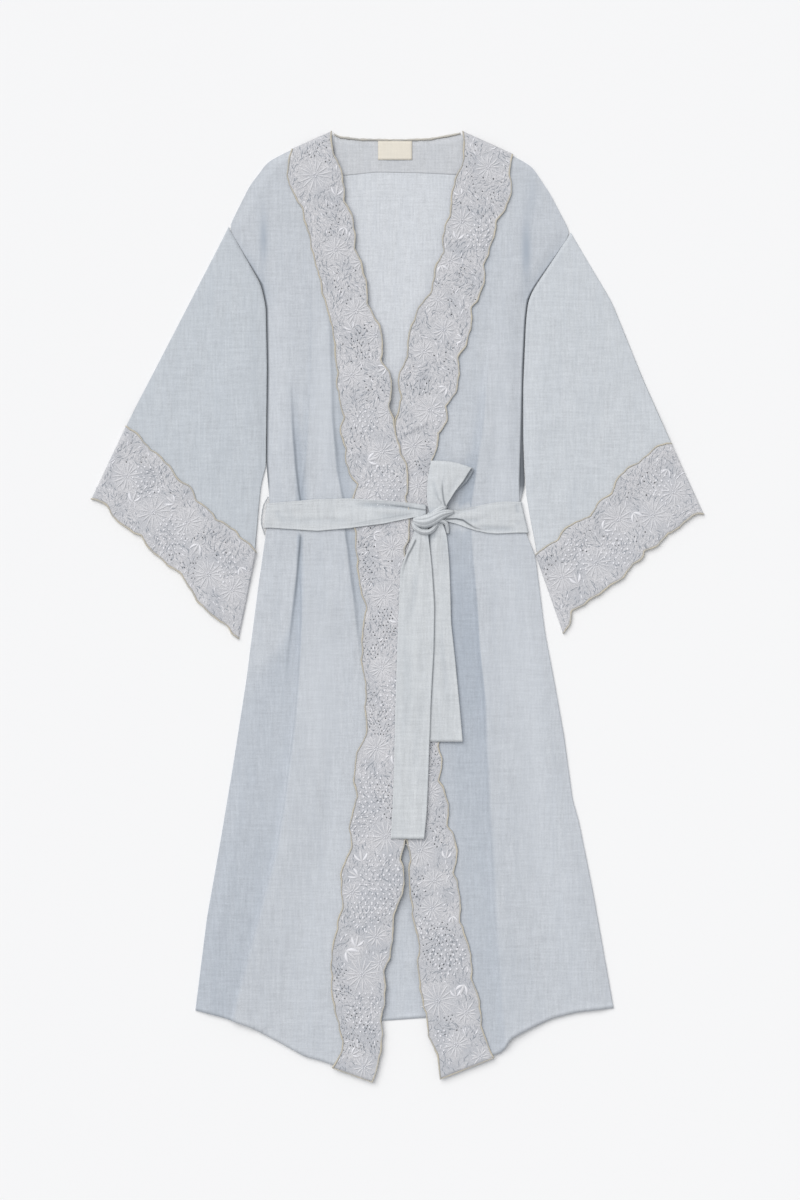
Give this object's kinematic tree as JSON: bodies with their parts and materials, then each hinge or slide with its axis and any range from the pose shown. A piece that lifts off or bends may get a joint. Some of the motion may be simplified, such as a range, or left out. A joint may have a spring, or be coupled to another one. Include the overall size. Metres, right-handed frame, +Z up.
{
  "type": "lace kimono",
  "caption": "Open-front linen kimono with lace bands, wide sleeves and a tied belt, laid flat on its back.",
  "frame": {"origin": "centre of the garment's box, on the surface that it lies on", "axes": "+Y runs from the hem to the neck, +X to the wearer's left, +Z up out of the surface"},
  "size_m": [0.771, 1.197, 0.0213],
  "materials": {
    "linen": "pale blue-grey linen in plain weave, matt",
    "lace": "embroidered grey lace with a satin thread",
    "belt": "pale grey linen, doubled, matt",
    "edging": "beige overlock thread and binding",
    "label": "cream woven satin"
  },
  "bodies": {
    "root": {"back_panel": "linen", "right_front": "linen", "left_front": "linen", "right_sleeve": "linen", "left_sleeve": "linen", "back_neck_facing": "linen", "right_front_lace": "lace", "left_front_lace": "lace", "right_cuff_lace": "lace", "left_cuff_lace": "lace", "neck_binding": "edging", "neck_label": "label", "belt_back": "belt", "belt_right": "belt", "belt_left": "belt", "belt_tail_short": "belt", "belt_tail_long": "belt", "bow_loop": "belt", "belt_knot": "belt", "belt_thread_loop": "belt"}
  },
  "joints": []
}
